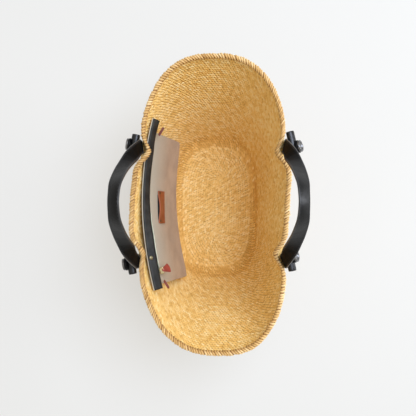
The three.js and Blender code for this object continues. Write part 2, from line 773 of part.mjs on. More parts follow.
// The leather tabs that close the two ends of the zip.
function zipEndTab(name, end) {
  const y = pouch.shift + end * (pouch.length / 2 + endTab.length / 2 - endTab.overlap);
  const { seat, ahead } = seatBesideStrip(y, endTab.length, endTab.width);
  const group = standAt(seat, ahead, new THREE.Vector3(0, 0, 1));
  const [l, w, cut] = [endTab.length / 2, endTab.width / 2, endTab.corner];
  const outline = [[-l, -w], [l, -w], [l, w - cut], [l - cut, w], [-l + cut, w], [-l, w - cut]];
  group.add(named(name, cutPlate(outline, endTab.thickness), red));
  return group;
}

// A point on the leather label, which lies on the front and gapes at its top edge between its rivets.
function labelPoint(y, z, offset) {
  const down = THREE.MathUtils.clamp((mouthZ - label.drop - z) / label.height, 0, 1);
  const share = Math.min(Math.abs(y - label.place) / (label.length / 2 - 2 * labelRivet.edge), 1);
  const gape = label.gape * (1 - down) ** 2 * (1 - share ** 2);
  return new THREE.Vector3(frontX(y, z) + gap.wall + gape + offset, y, z);
}

function labelFace(offset) {
  const [rows, columns] = [4, 9];
  const face = [];
  for (let r = 0; r <= rows; r += 1) {
    const z = mouthZ - label.drop - label.height * (r / rows);
    const line = [];
    for (let c = 0; c <= columns; c += 1) {
      line.push(labelPoint(label.place + label.length * (c / columns - 0.5), z, offset));
    }
    face.push(line);
  }
  return face;
}

// A group that stands square on the label, just clear of it.
function standOnLabel(y, z) {
  const reach = labelRivet.diameter / 2;
  const side = labelPoint(y + reach, z, 0).sub(labelPoint(y - reach, z, 0));
  const rise = labelPoint(y, z + reach, 0).sub(labelPoint(y, z - reach, 0));
  const out = side.cross(rise).normalize();
  const point = labelPoint(y, z, label.thickness).addScaledVector(out, gap.seat);
  return standAt(point, out, new THREE.Vector3(0, 0, 1));
}

// A small domed rivet, its foot on the YZ plane and its axis along X.
function rivetHead(diameter, thickness) {
  const steps = 3;
  const profile = [[0, 0]];
  for (let k = 0; k < steps; k += 1) {
    const turn = (k / steps) * (Math.PI / 2);
    profile.push([Math.cos(turn) * diameter / 2, Math.sin(turn) * thickness]);
  }
  return turned([...profile, [0, thickness]]).rotateZ(-Math.PI / 2);
}

function canvasPouch() {
  const group = new THREE.Group();
  group.add(named('pouch_back', plate(backFace(pouch.canvas), backFace(0)), canvas));
  group.add(named('pouch_front', plate(frontFace(0), frontFace(pouch.canvas)), canvas));
  group.add(named('strip_backing', slopedBand(backingWidth, strip.backing, 0), canvas));
  group.add(named('pouch_top_strip', slopedBand(strip.width, strip.thickness, stripLift), leather));
  group.add(named('zip_tape', zipTape(), canvas));
  group.add(zipSlider());
  group.add(zipEndTab('zip_end_tab_back', 1), zipEndTab('zip_end_tab_front', -1));
  group.add(named('label_patch', plate(labelFace(label.thickness), labelFace(0)), tan));
  for (const [name, end] of [['back', 1], ['front', -1]]) {
    const y = end * stripRivet.halfSpacing;
    const { edge, across, face } = mouthStation(y);
    const seat = edge.clone().addScaledVector(across, stripRivet.edge - strip.width)
      .addScaledVector(face, stripLift + strip.thickness + gap.seat);
    seat.z += stripRaise;
    const post = standAt(seat, face, across);
    post.add(named(`strip_rivet_${name}`, rivetHead(stripRivet.diameter, stripRivet.thickness), brass));
    group.add(post);
    const place = label.place + end * (label.length / 2 - labelRivet.edge);
    const spot = standOnLabel(place, mouthZ - label.drop - labelRivet.edge);
    spot.add(named(`label_rivet_${name}`, rivetHead(labelRivet.diameter, labelRivet.thickness), brass));
    group.add(spot);
  }
  return group;
}

// The bag

const basketBag = new THREE.Group();
basketBag.add(named('basket_body', basketBody(), straw));
basketBag.add(named('rim_border', rimBorder(), straw));
for (const handle of handles) basketBag.add(handleStrap(handle));
for (const end of handleEnds) basketBag.add(handleEnd(end));
basketBag.add(canvasPouch());

// The origin is under the middle of everything.
const middle = new THREE.Box3().setFromObject(basketBag, true).getCenter(new THREE.Vector3());
basketBag.position.set(-middle.x, -middle.y, 0);

export default basketBag;
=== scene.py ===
"""Looks of the straw basket bag: twined straw, leather handles, canvas pouch, floor, light, camera."""
import math
import bmesh
import bpy
import numpy as np
from mathutils import Matrix, Vector


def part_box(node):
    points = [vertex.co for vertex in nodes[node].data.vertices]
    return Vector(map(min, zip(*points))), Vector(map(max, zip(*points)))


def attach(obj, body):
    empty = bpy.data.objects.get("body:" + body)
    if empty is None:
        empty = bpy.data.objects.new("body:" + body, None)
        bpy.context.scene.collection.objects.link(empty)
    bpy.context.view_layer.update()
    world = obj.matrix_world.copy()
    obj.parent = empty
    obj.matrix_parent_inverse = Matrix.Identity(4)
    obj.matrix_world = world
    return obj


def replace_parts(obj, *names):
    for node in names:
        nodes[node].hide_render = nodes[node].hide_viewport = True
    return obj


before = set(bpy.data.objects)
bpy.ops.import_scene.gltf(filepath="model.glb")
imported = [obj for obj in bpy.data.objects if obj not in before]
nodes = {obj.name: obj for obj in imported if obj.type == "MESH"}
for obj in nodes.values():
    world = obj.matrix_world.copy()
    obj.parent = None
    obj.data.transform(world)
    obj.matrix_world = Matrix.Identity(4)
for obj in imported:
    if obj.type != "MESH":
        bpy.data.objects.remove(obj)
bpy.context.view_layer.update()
rng = np.random.default_rng(11)
MM = 0.001

# The basket's form in millimetres, as in the part's source, before it is centred on its box.
HEIGHT = 285.0
RIM = {"length": 470.0, "width": 247.0, "squareness": 2.6}
BASE = {"length": 268.0, "width": 164.0, "squareness": 3.1}
CORNER = 14.0
BELLY = 0.04
WALL = 4.0
BORDER = {"width": 9.0, "height": 8.0}
PINCH = {"depth": 18.0, "half_spacing": 81.0, "half_width": 18.0, "fade": 37.0}
# Depth and spacing of each pinch as shares, for the back and front ends of each side.
PINCH_SHARES = {1: [(1.06, 1.035), (1.08, 1.0)], -1: [(1.12, 1.035), (0.84, 0.965)]}
SWAY_ALONG = [-1.0, -0.8, -0.5, -0.2, 0.0, 0.2, 0.5, 0.8, 1.0]
SWAY_SIDEWAYS = [0.1, 0.065, 0.035, -0.028, -0.01, 0.02, 0.036, 0.048, 0.045]
WALL_TOP = HEIGHT - BORDER["height"] - 0.35
STRAP = {"width": 22.0, "thickness": 3.0, "rise": 149.0, "lean": 11.0, "tilt": 48.0, "spacing": 180.0,
         "tail": 58.0, "gap": 0.85}
ARCH = {
    "run": [1.0, 0.92, 0.8, 0.66, 0.48, 0.26, 0.0],
    "reach": [0.0, 0.09, 0.255, 0.48, 0.745, 0.94, 1.0],
    "rise": [0.0, 0.165, 0.36, 0.54, 0.76, 0.94, 1.0],
    "turn": [0.0, 0.11, 0.37, 0.68, 0.85, 0.93, 1.0],
}
HANDLES = [("right", 1, 1.25, 0.97), ("left", -1, 0.83, 0.81)]
HANDLE_ENDS = [("right_back", 1, 1, -13, 26, 0.26), ("right_front", 1, -1, 12, 26, 0.14),
               ("left_back", -1, 1, -9, 4, 0.0), ("left_front", -1, -1, -10, 2, 0.0)]
TOGGLE = {"diameter": 13.0, "length": 34.0}
# Lines of thread stitches along the straps' edges.
SEWING = {"margin": 5, "spacing": 4.2, "inset": 2.4, "sunk": 0.05, "length": 3.0, "radius": 0.38}
# The rolled leather of a toggle: how much fatter than its solid, its thickness and its turns.
ROLL = {"fuller": 0.6, "skin": 1.3, "turns": 4.3, "points": 116, "slit": 0.22, "tight": 0.06}
# Turned profiles as radius and height: the leather disc, and the metal cap with its raised ring.
DISC = [(0, 0), (9.2, 0), (9.8, 0.3), (10, 0.8), (10, 2.3), (9.7, 2.8), (9.2, 3.0), (0, 3.0)]
CAP = [(0, 0), (8.9, 0), (9.25, 0.4), (9.25, 2.3), (9.0, 2.8), (8.6, 3.1), (8.2, 3.2), (7.0, 3.2),
       (6.5, 3.05), (6.2, 2.6), (5.9, 1.8), (5.6, 1.5), (5.0, 1.6), (4.6, 2.1), (4.2, 2.25), (3.8, 2.15),
       (3.4, 1.9), (2.6, 2.3), (1.3, 2.7), (0, 2.8)]
STACK = {"gap": 0.35, "disc": 3.35}
# Small parts of the pouch in metres and degrees, set off from their solids.
PULLER = {"turn": -16, "size": 1.12, "nearer": 0.0035}
TAB_FOLD = {"turn": -27, "narrow": 0.55, "long": 1.1, "nearer": 0.001}
LABEL_DEEPER = 0.25
PIPING = {"front": -101.0, "back": -14.0, "radius": 0.9}


def smooth(t):
    t = np.clip(t, 0, 1)
    return t * t * (3 - 2 * t)


def eased(keys, values, t):
    keys, values = np.asarray(keys), np.asarray(values)
    t = np.clip(t, keys[0], keys[-1])
    i = np.clip(np.searchsorted(keys, t) - 1, 0, len(keys) - 2)
    f = smooth((t - keys[i]) / (keys[i + 1] - keys[i]))
    return values[i] * (1 - f) + values[i + 1] * f


def sway(share):
    return eased(SWAY_ALONG, SWAY_SIDEWAYS, share) * RIM["width"] / 2


def level(z):
    """Half length, half width, squareness, pinch and spread of the outer wall at a height."""
    t = np.clip(z / HEIGHT, 0, 1)
    spread = t + BELLY * 4 * t * (1 - t)
    turn = np.clip(1 - z / CORNER, 0, 1)
    tuck = CORNER * (1 - np.sqrt(1 - turn * turn))
    length = (BASE["length"] + (RIM["length"] - BASE["length"]) * spread) / 2 - tuck
    width = (BASE["width"] + (RIM["width"] - BASE["width"]) * spread) / 2 - tuck
    squareness = BASE["squareness"] + (RIM["squareness"] - BASE["squareness"]) * t
    pinch = PINCH["depth"] * smooth((z - HEIGHT + PINCH["fade"]) / PINCH["fade"])
    return length, width, squareness, pinch, spread


def pinch_at(side, share, pinch):
    right, back = np.asarray(side) > 0, np.asarray(share) >= 0

    def pick(i):
        on_right = np.where(back, PINCH_SHARES[1][0][i], PINCH_SHARES[1][1][i])
        on_left = np.where(back, PINCH_SHARES[-1][0][i], PINCH_SHARES[-1][1][i])
        return np.where(right, on_right, on_left)

    depth, spacing = pick(0), pick(1)
    off = (np.abs(share) * RIM["length"] / 2 - PINCH["half_spacing"] * spacing) / PINCH["half_width"]
    return pinch * depth * np.where(off < 0, np.exp(-off * off), 1 / (1 + off * off))


def outline(angle, z, inset=0.0):
    """Points of the wall's outline at an angle round it and a height, moved inward by an inset."""
    angle, z, inset = np.broadcast_arrays(np.asarray(angle, float), z, inset)
    length, width, squareness, pinch, spread = level(z)
    c, s = np.cos(angle), np.sin(angle)
    share = np.sign(s) * np.abs(s) ** (2 / squareness)
    flank = np.sign(c) * np.abs(c) ** (2 / squareness)
    across = flank * (width - inset) - np.sign(c) * pinch_at(c, share, pinch)
    return np.stack([across + sway(share) * spread, share * (length - inset), z], -1)


def wall_x(side, y, z):
    """The wall's outer face across the bag, on one side, at a place along it and a height."""
    length, width, squareness, pinch, spread = level(z)
    share = np.clip(y / length, -0.999, 0.999)
    flank = (1 - np.abs(share) ** squareness) ** (1 / squareness)
    return side * (flank * width - pinch_at(side, share, pinch)) + sway(share) * spread


RING = np.linspace(0, 2 * math.pi, 2881)
# How far the part was moved to centre it on its box.
ring_x = outline(RING, WALL_TOP)[:, 0]
body_low, body_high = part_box("basket_body")
SHIFT = (body_low.x + body_high.x) / 2 / MM - (ring_x.min() + ring_x.max()) / 2


def metres(points):
    """Moves points in the source's millimetres to metres in the row frame."""
    return (np.asarray(points, float) + [SHIFT, 0, 0]) * MM


def unit(v):
    return v / np.maximum(np.linalg.norm(v, axis=-1, keepdims=True), 1e-9)


def evenly(z, inset, count, phase):
    """Angles of points that lie evenly round the outline."""
    ring = outline(RING, z, inset)
    walked = np.concatenate([[0], np.cumsum(np.linalg.norm(np.diff(ring, axis=0), axis=1))])
    return np.interp((np.arange(count) + phase) % count / count * walked[-1], walked, RING)


def ring_length(z, inset):
    return np.linalg.norm(np.diff(outline(RING, z, inset), axis=0), axis=1).sum()


# Meshes

def shade(obj, smooth_angle=None):
    for poly in obj.data.polygons:
        poly.use_smooth = True
    if smooth_angle is not None:
        obj.data.set_sharp_from_angle(angle=math.radians(smooth_angle))


def add_mesh(name, points, faces, material, slot=None, angle=None, tints=None, kinds=None):
    """A piece from points in metres. tints are one number a point, kinds one material index a face."""
    mesh = bpy.data.meshes.new(name)
    mesh.from_pydata([tuple(p) for p in np.asarray(points).tolist()], [], [tuple(f) for f in faces])
    mesh.update()
    obj = bpy.data.objects.new(name, mesh)
    bpy.context.scene.collection.objects.link(obj)
    for each in material if isinstance(material, list) else [material]:
        mesh.materials.append(each)
    if kinds is not None:
        mesh.polygons.foreach_set("material_index", np.asarray(kinds, np.int32))
    if tints is not None:
        layer = mesh.color_attributes.new("tint", "FLOAT_COLOR", "POINT")
        rgba = np.repeat(np.asarray(tints, np.float32)[:, None], 4, 1)
        rgba[:, 3] = 1
        layer.data.foreach_set("color", rgba.ravel())
    shade(obj, angle)
    if slot:
        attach(obj, "root")
    return obj


def grid_faces(rows, columns, wrap_rows=False, wrap_columns=False, start=0):
    r = np.arange(rows if wrap_rows else rows - 1)
    c = np.arange(columns if wrap_columns else columns - 1)
    r, c = [a.ravel() for a in np.meshgrid(r, c, indexing="ij")]
    r2, c2 = (r + 1) % rows, (c + 1) % columns
    quads = np.stack([r * columns + c, r * columns + c2, r2 * columns + c2, r2 * columns + c], 1)
    return (quads + start).tolist()


def closed_loft(rings):
    """Points and faces of a tube through rings of equal size, with both ends closed."""
    rings = np.asarray(rings, float)
    rows, columns = rings.shape[:2]
    faces = grid_faces(rows, columns, wrap_columns=True)
    faces.append(list(range(columns))[::-1])
    faces.append(list(range((rows - 1) * columns, rows * columns)))
    return rings.reshape(-1, 3), faces


def many(template_points, template_faces, centres, a, b, n, sizes):
    """Copies a small shape to many places. Its axes are a, b and n, each with a size a place."""
    local = np.asarray(template_points, float)
    la = local[None, :, 0, None] * sizes[0][:, None, None] * a[:, None]
    lb = local[None, :, 1, None] * sizes[1][:, None, None] * b[:, None]
    ln = local[None, :, 2, None] * sizes[2][:, None, None] * n[:, None]
    points = (centres[:, None] + la + lb + ln).reshape(-1, 3)
    faces = []
    for face in template_faces:
        faces.append(np.asarray(face)[None] + np.arange(len(centres))[:, None] * len(local))
    return points, [f.tolist() for group in faces for f in group]


def stitch_shape(stations=(-0.5, 0.0, 0.5), widths=(0.86, 1.0, 0.86), heights=(0.82, 1.0, 0.82)):
    """A straw strand seen between two gaps: a long lens that dips under its neighbours at both tips."""
    points = [(-1, 0, -0.25)]
    for s, w, h in zip(stations, widths, heights):
        points += [(s, -w, -0.1), (s, -0.55 * w, 0.72 * h), (s, 0.55 * w, 0.72 * h), (s, w, -0.1)]
    points.append((1, 0, -0.25))
    faces = [[0, 2, 1], [0, 3, 2], [0, 4, 3]]
    for k in range(len(stations) - 1):
        for c in range(3):
            i = 1 + 4 * k + c
            faces.append([i, i + 1, i + 5, i + 4])
    last = 1 + 4 * (len(stations) - 1)
    tip = len(points) - 1
    faces += [[tip, last, last + 1], [tip, last + 1, last + 2], [tip, last + 2, last + 3]]
    return points, faces


# Materials

class Paint:
    """A node material with short calls for what every finish here is made of."""

    def __init__(self, name, roughness=0.6, metallic=0.0, specular=0.5, sheen=0.0):
        self.material = bpy.data.materials.new(name)
        self.material.use_nodes = True
        self.tree = self.material.node_tree
        self.shader = self.tree.nodes["Principled BSDF"]
        self.shader.inputs["Roughness"].default_value = roughness
        self.shader.inputs["Metallic"].default_value = metallic
        self.shader.inputs["Specular IOR Level"].default_value = specular
        self.shader.inputs["Sheen Weight"].default_value = sheen
        self.place = self.add("ShaderNodeTexCoord").outputs["Object"]

    def add(self, kind, **inputs):
        node = self.tree.nodes.new(kind)
        for key, value in inputs.items():
            self.set(node.inputs[key.replace("_", " ")], value)
        return node

    def set(self, socket, value):
        if isinstance(value, bpy.types.NodeSocket):
            self.tree.links.new(value, socket)
        else:
            socket.default_value = value

    def noise(self, scale, detail):
        return self.add("ShaderNodeTexNoise", Vector=self.place, Scale=scale, Detail=detail).outputs["Fac"]

    def height_share(self, low, high):
        axes = self.add("ShaderNodeSeparateXYZ", Vector=self.place)
        share = self.add("ShaderNodeMapRange", Value=axes.outputs["Z"], From_Min=low, From_Max=high)
        return share.outputs["Result"]

    def attribute(self, name):
        node = self.add("ShaderNodeVertexColor")
        node.layer_name = name
        return node.outputs["Color"]

    def math(self, operation, a, b):
        node = self.add("ShaderNodeMath")
        node.operation = operation
        self.set(node.inputs[0], a)
        self.set(node.inputs[1], b)
        return node.outputs[0]

    def ramp(self, fac, stops):
        node = self.add("ShaderNodeValToRGB", Fac=fac)
        elements = node.color_ramp.elements
        while len(elements) < len(stops):
            elements.new(0.5)
        for element, (position, colour) in zip(elements, stops):
            element.position = position
            element.color = (*colour, 1)
        return node.outputs["Color"]

    def colour(self, value):
        self.set(self.shader.inputs["Base Color"], value)

    def roughness(self, fac, low, high):
        node = self.add("ShaderNodeMapRange", Value=fac, To_Min=low, To_Max=high)
        self.set(self.shader.inputs["Roughness"], node.outputs["Result"])

    def bump(self, height, distance, strength):
        node = self.add("ShaderNodeBump", Height=height, Strength=strength, Distance=distance)
        links = self.shader.inputs["Normal"].links
        if links:
            self.tree.links.new(links[0].from_socket, node.inputs["Normal"])
        self.set(self.shader.inputs["Normal"], node.outputs["Normal"])


def straw_paint(name, dark, middle, light):
    paint = Paint(name, roughness=0.6, specular=0.4, sheen=0.05)
    tone = paint.math("MULTIPLY", paint.attribute("tint"), 0.55)
    cloud = paint.math("MULTIPLY", paint.noise(9, 2), 0.3)
    fibre = paint.math("MULTIPLY", paint.noise(420, 2), 0.35)
    total = paint.math("ADD", paint.math("ADD", tone, cloud), fibre)
    paint.colour(paint.ramp(total, [(0.25, dark), (0.55, middle), (0.85, light)]))
    paint.roughness(paint.noise(160, 2), 0.5, 0.72)
    paint.bump(paint.noise(1500, 2), 0.0003, 0.5)
    return paint.material


def leather_paint(name, dark, light, low, high, specular, polished=None):
    """Grained leather. With polished, the roughness goes from low to high between two heights."""
    paint = Paint(name, specular=specular)
    mottle = paint.noise(60, 4)
    paint.colour(paint.ramp(mottle, [(0.3, dark), (0.7, light)]))
    if polished:
        paint.roughness(paint.height_share(*polished), low, high)
    else:
        paint.roughness(paint.noise(140, 3), low, high)
    cells = paint.add("ShaderNodeTexVoronoi", Vector=paint.place, Scale=700.0)
    paint.bump(cells.outputs["Distance"], 0.0004, 0.4)
    paint.bump(paint.noise(90, 3), 0.0008, 0.25)
    return paint.material


def metal_paint(name, dark, light, low, high):
    paint = Paint(name, metallic=1.0)
    paint.colour(paint.ramp(paint.noise(300, 3), [(0.3, dark), (0.7, light)]))
    paint.roughness(paint.noise(220, 3), low, high)
    paint.bump(paint.noise(900, 2), 0.0001, 0.3)
    return paint.material


def cloth_paint(name, dark, light, pitch=0.0011, depth=0.00035, greyer_between=None):
    """Plain weave: threads along the bag and down it. Given two heights, it turns greyer from the lower to
    the upper one.
    """
    paint = Paint(name, roughness=0.88, specular=0.2, sheen=0.15)
    turns = math.pi / pitch
    axes = paint.add("ShaderNodeSeparateXYZ", Vector=paint.place)
    along = paint.math("SINE", paint.math("MULTIPLY", axes.outputs["Y"], turns), 0)
    down = paint.math("SINE", paint.math("MULTIPLY", axes.outputs["Z"], turns), 0)
    weave = paint.math("MULTIPLY", along, down)
    tone = paint.math("ADD", paint.math("MULTIPLY", weave, 0.12), paint.noise(30, 4))
    colour = paint.ramp(tone, [(0.3, dark), (0.7, light)])
    if greyer_between:
        mix = paint.add("ShaderNodeMixRGB", Fac=paint.height_share(*greyer_between), Color1=colour, Color2=CANVAS_TOP_GREY)
        colour = mix.outputs["Color"]
    paint.colour(colour)
    paint.bump(weave, depth, 0.5)
    paint.bump(paint.noise(45, 3), 0.0015, 0.25)
    return paint.material


STRAW = straw_paint("straw_strands", (0.66, 0.36, 0.075), (0.86, 0.56, 0.165), (0.96, 0.76, 0.37))
# Painted shade: the border's straw is a darker copy of the wall's straw, toned down against the full light
# on its top.
STRAW_BORDER_SHADED = straw_paint("straw_border_shaded", (0.36, 0.19, 0.05), (0.60, 0.36, 0.12), (0.82, 0.60, 0.30))
# Painted shade: the core between the strands is darker straw, standing for the shade in the gaps.
STRAW_CORE_SHADE = straw_paint("straw_core", (0.44, 0.23, 0.045), (0.56, 0.32, 0.075), (0.66, 0.41, 0.12))
# Painted shade: the coil under the border is near-dark straw, standing for the shade in the gaps between
# its strands.
STRAW_COIL_SHADE = straw_paint("straw_coil_shade", (0.17, 0.075, 0.015), (0.24, 0.11, 0.025), (0.30, 0.15, 0.04))
BLACK = leather_paint("black_leather", (0.004, 0.004, 0.0045), (0.008, 0.008, 0.0085), 0.4, 0.55, 0.12)
ROLLED = leather_paint("rolled_leather", (0.004, 0.004, 0.0045), (0.008, 0.008, 0.0085), 0.24, 0.36, 0.4)

# The handles shine more towards their tops, in steps of height.
GRIP_SHINE = [0.035, 0.06, 0.095, 0.14, 0.18, 0.23]
GRIP_HEIGHTS = [0.33, 0.35, 0.37, 0.39, 0.41]
GRIPS = []
for step, shine in enumerate(GRIP_SHINE):
    GRIPS.append(leather_paint(f"grip_leather_{step}", (0.002, 0.002, 0.0022), (0.004, 0.004, 0.0042),
                               0.62, 0.3, shine, (0.36, 0.425)))

# The straps' edge paint, glossier than their faces; its lighter tone is partly painted highlight along the
# edges.
EDGE_PAINT_AND_HIGHLIGHT = leather_paint("black_edge_paint_and_highlight", (0.02, 0.02, 0.02), (0.04, 0.04, 0.04), 0.3, 0.42, 0.4)
BLACK_STRIP = leather_paint("strip_leather", (0.009, 0.0095, 0.009), (0.03, 0.031, 0.028), 0.4, 0.55, 0.26)
TAN = leather_paint("tan_leather", (0.24, 0.06, 0.02), (0.36, 0.10, 0.035), 0.42, 0.58, 0.4)
RED = leather_paint("red_leather", (0.24, 0.035, 0.022), (0.36, 0.06, 0.035), 0.42, 0.58, 0.4)
TAB = leather_paint("tab_leather", (0.10, 0.025, 0.018), (0.20, 0.05, 0.03), 0.45, 0.6, 0.3)
GUNMETAL = metal_paint("gunmetal", (0.15, 0.15, 0.155), (0.25, 0.25, 0.255), 0.24, 0.38)
OLD_BRASS = metal_paint("dark_brass", (0.10, 0.06, 0.03), (0.18, 0.11, 0.06), 0.3, 0.45)
DULL_BRASS = metal_paint("dull_brass", (0.20, 0.18, 0.10), (0.32, 0.28, 0.17), 0.42, 0.55)
SLIDER = metal_paint("slider_brass", (0.40, 0.33, 0.17), (0.52, 0.44, 0.25), 0.3, 0.42)
TEETH = metal_paint("zip_teeth_metal", (0.46, 0.48, 0.33), (0.62, 0.64, 0.47), 0.3, 0.42)
# The grey that the canvas turns towards its top.
CANVAS_TOP_GREY = (0.46, 0.42, 0.32, 1)
CANVAS = cloth_paint("canvas", (0.37, 0.26, 0.16), (0.49, 0.35, 0.22), greyer_between=(0.16, 0.225))
TAPE = cloth_paint("zip_tape_cloth", (0.16, 0.16, 0.10), (0.26, 0.26, 0.18), 0.0008, 0.0002)
PIPED = cloth_paint("zip_edge_cloth", (0.42, 0.44, 0.32), (0.60, 0.61, 0.47), 0.0006, 0.0001)
# Painted shadow: near-black cloth for the strip behind the label's upper edge.
LABEL_GAP_SHADOW = cloth_paint("label_gap_shadow_cloth", (0.004, 0.004, 0.004), (0.01, 0.01, 0.01), 0.0008, 0.0001)
THREAD = cloth_paint("dark_thread", (0.02, 0.02, 0.02), (0.05, 0.05, 0.05), 0.0006, 0.0001)

# The basket

# Rows of strands and the strands' spacing along them, on the wall and on the base.
ROW = 5.9
PITCH = 4.5
BASE_ROW = 4.65
BASE_PITCH = 3.8
LEAN = math.radians(42)
BASE_RINGS = 15
SKIN = 1.0  # the core's depth under both faces
STRAND_INSET = 0.8
STRAND = {"length": 4.6, "width": 1.95, "height": 1.0}
BASE_STRAND = {"length": 3.7, "width": 1.65, "height": 0.85}
# Painted shade: the inner wall's strands are darker below this height, down to the corner with the base.
CORNER_SHADE = {"below": 30, "fade": 14, "share": 0.3}
# Border: the coil's half width and half height, and the strands over it. Lean and spread are
# shares of the pitch, and half_width too.
COIL = {"half_width": 3.2, "half_height": 3.0, "centre": 3.6, "stations": 400, "sides": 10}
WHIP = {"pitch": 8.8, "lean": 0.6, "spread": 0.46, "half_width": 0.2, "radius": 3.3, "crown": 1.3,
        "centre": 3.4, "overlap": 0.28, "steps": 11, "columns": 5}


def straw_shell():
    """The core that shows between the strands: a closed shell a little inside both faces, in darker straw
    as painted shade in the gaps.
    """
    angles = np.linspace(0, 2 * math.pi, 241)[:-1]
    corner = CORNER * (1 - np.cos(np.linspace(0.35, math.pi / 2, 5)))
    heights = np.concatenate([corner, np.linspace(CORNER, WALL_TOP - 0.5, 26)[1:]])
    outer = [outline(angles, z, SKIN) for z in heights]
    inner = []
    for z in heights[::-1]:
        points = outline(angles, z, WALL - SKIN)
        points[:, 2] += (WALL - 2 * SKIN) * max(1 - z / CORNER, 0)
        inner.append(points)
    rings = [outline(angles, 0.0, SKIN), *outer, *inner, outline(angles, 0.0, WALL * 1.6)]
    rings[0][:, 2] = SKIN
    rings[-1][:, 2] = WALL - SKIN
    points, faces = closed_loft(rings)
    tints = np.full(len(points), 0.4)
    core = add_mesh("straw_core", metres(points), faces, STRAW_CORE_SHADE, "straw", tints=tints)
    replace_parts(core, "basket_body")


def wall_stitches(side):
    """Twined strands on one face of the wall. side is 1 outside and -1 inside."""
    inset = STRAND_INSET if side > 0 else WALL - STRAND_INSET
    bend = [CORNER * (1 - math.cos(t)) for t in np.arange(0.25, math.pi / 2, 0.8 * ROW / CORNER)]
    straight = np.arange(bend[-1] + ROW * 0.9, WALL_TOP - 1, ROW)
    rows = [*bend, *straight]
    centres, ups, rounds = [], [], []
    count = 0
    for k, z in enumerate(rows):
        if k % 7 == 0:
            count = int(round(ring_length(z, inset) / PITCH))
        angle = evenly(z, inset, count, 0.5 * k + rng.uniform(-0.12, 0.12, count))
        here = outline(angle, z, inset)
        above = outline(angle, z + 0.4, inset)
        beside = outline(angle + 0.0008, z, inset)
        if side < 0:
            lift = (WALL - 2 * STRAND_INSET) * np.array([max(1 - h / CORNER, 0) for h in (z, z + 0.4)])
            here[:, 2] += lift[0]
            beside[:, 2] += lift[0]
            above[:, 2] += lift[1]
        centres.append(here)
        ups.append(unit(above - here))
        rounds.append(unit(beside - here))
    centres, up, along = [np.concatenate(v) for v in (centres, ups, rounds)]
    normal = unit(np.cross(along, up)) * side
    lean = LEAN + rng.normal(0, 0.06, len(centres))
    axis = up * np.cos(lean)[:, None] - side * along * np.sin(lean)[:, None]
    across = np.cross(normal, axis)
    sizes = [rng.normal(STRAND["length"], 0.3, len(centres)),
             rng.normal(STRAND["width"], 0.14, len(centres)),
             rng.normal(STRAND["height"], 0.12, len(centres))]
    shape, faces = stitch_shape()
    points, faces = many(shape, faces, centres, axis, across, normal, sizes)
    points[:, 2] = np.maximum(points[:, 2], 0.0)
    tone = rng.normal(0.5, 0.22, len(centres))
    # Painted shade in the corner with the base, on the inner face only.
    if side < 0:
        depth = (CORNER_SHADE["below"] - centres[:, 2]) / CORNER_SHADE["fade"]
        tone = tone - CORNER_SHADE["share"] * smooth(depth)
    tints = np.repeat(np.clip(tone, 0, 1), len(shape))
    name = "straw_strands_outside" if side > 0 else "straw_strands_inside"
    add_mesh(name, metres(points), faces, STRAW, "straw", tints=tints)


def base_stitches(side):
    """Strands of the base in rounded rings, on its upper face (-1) or its underside (1)."""
    z = WALL - 0.9 if side < 0 else 0.95
    centres, rounds = [], []
    for k in range(BASE_RINGS):
        inset = 1.6 + BASE_ROW * k
        count = int(round(ring_length(0.0, inset) / BASE_PITCH))
        angle = evenly(0.0, inset, count, 0.5 * k + rng.uniform(-0.2, 0.2, count))
        here = outline(angle, 0.0, inset)
        rounds.append(unit(outline(angle + 0.0008, 0.0, inset) - here))
        here[:, 2] = z
        centres.append(here)
    centres, along = np.concatenate(centres), np.concatenate(rounds)
    normal = np.tile([0.0, 0.0, -side], (len(centres), 1))
    out = np.cross(along, [0.0, 0.0, 1.0])
    lean = LEAN + rng.normal(0, 0.12, len(centres))
    axis = out * np.cos(lean)[:, None] - side * along * np.sin(lean)[:, None]
    across = np.cross(normal, axis)
    flat = 0.85 if side > 0 else 1.0
    sizes = [rng.normal(BASE_STRAND["length"], 0.3, len(centres)),
             rng.normal(BASE_STRAND["width"], 0.14, len(centres)),
             np.clip(rng.normal(BASE_STRAND["height"], 0.12, len(centres)), 0.5, 1.1) * flat]
    shape, faces = stitch_shape()
    points, faces = many(shape, faces, centres, axis, across, normal, sizes)
    tints = np.repeat(np.clip(rng.normal(0.52, 0.2, len(centres)), 0, 1), len(shape))
    name = "straw_base_under" if side > 0 else "straw_base_inside"
    add_mesh(name, metres(points), faces, STRAW, "straw", tints=tints)


RIM_STEPS = np.linalg.norm(np.diff(outline(RING, WALL_TOP), axis=0), axis=1)
RIM_WALK = np.concatenate([[0], np.cumsum(RIM_STEPS)])


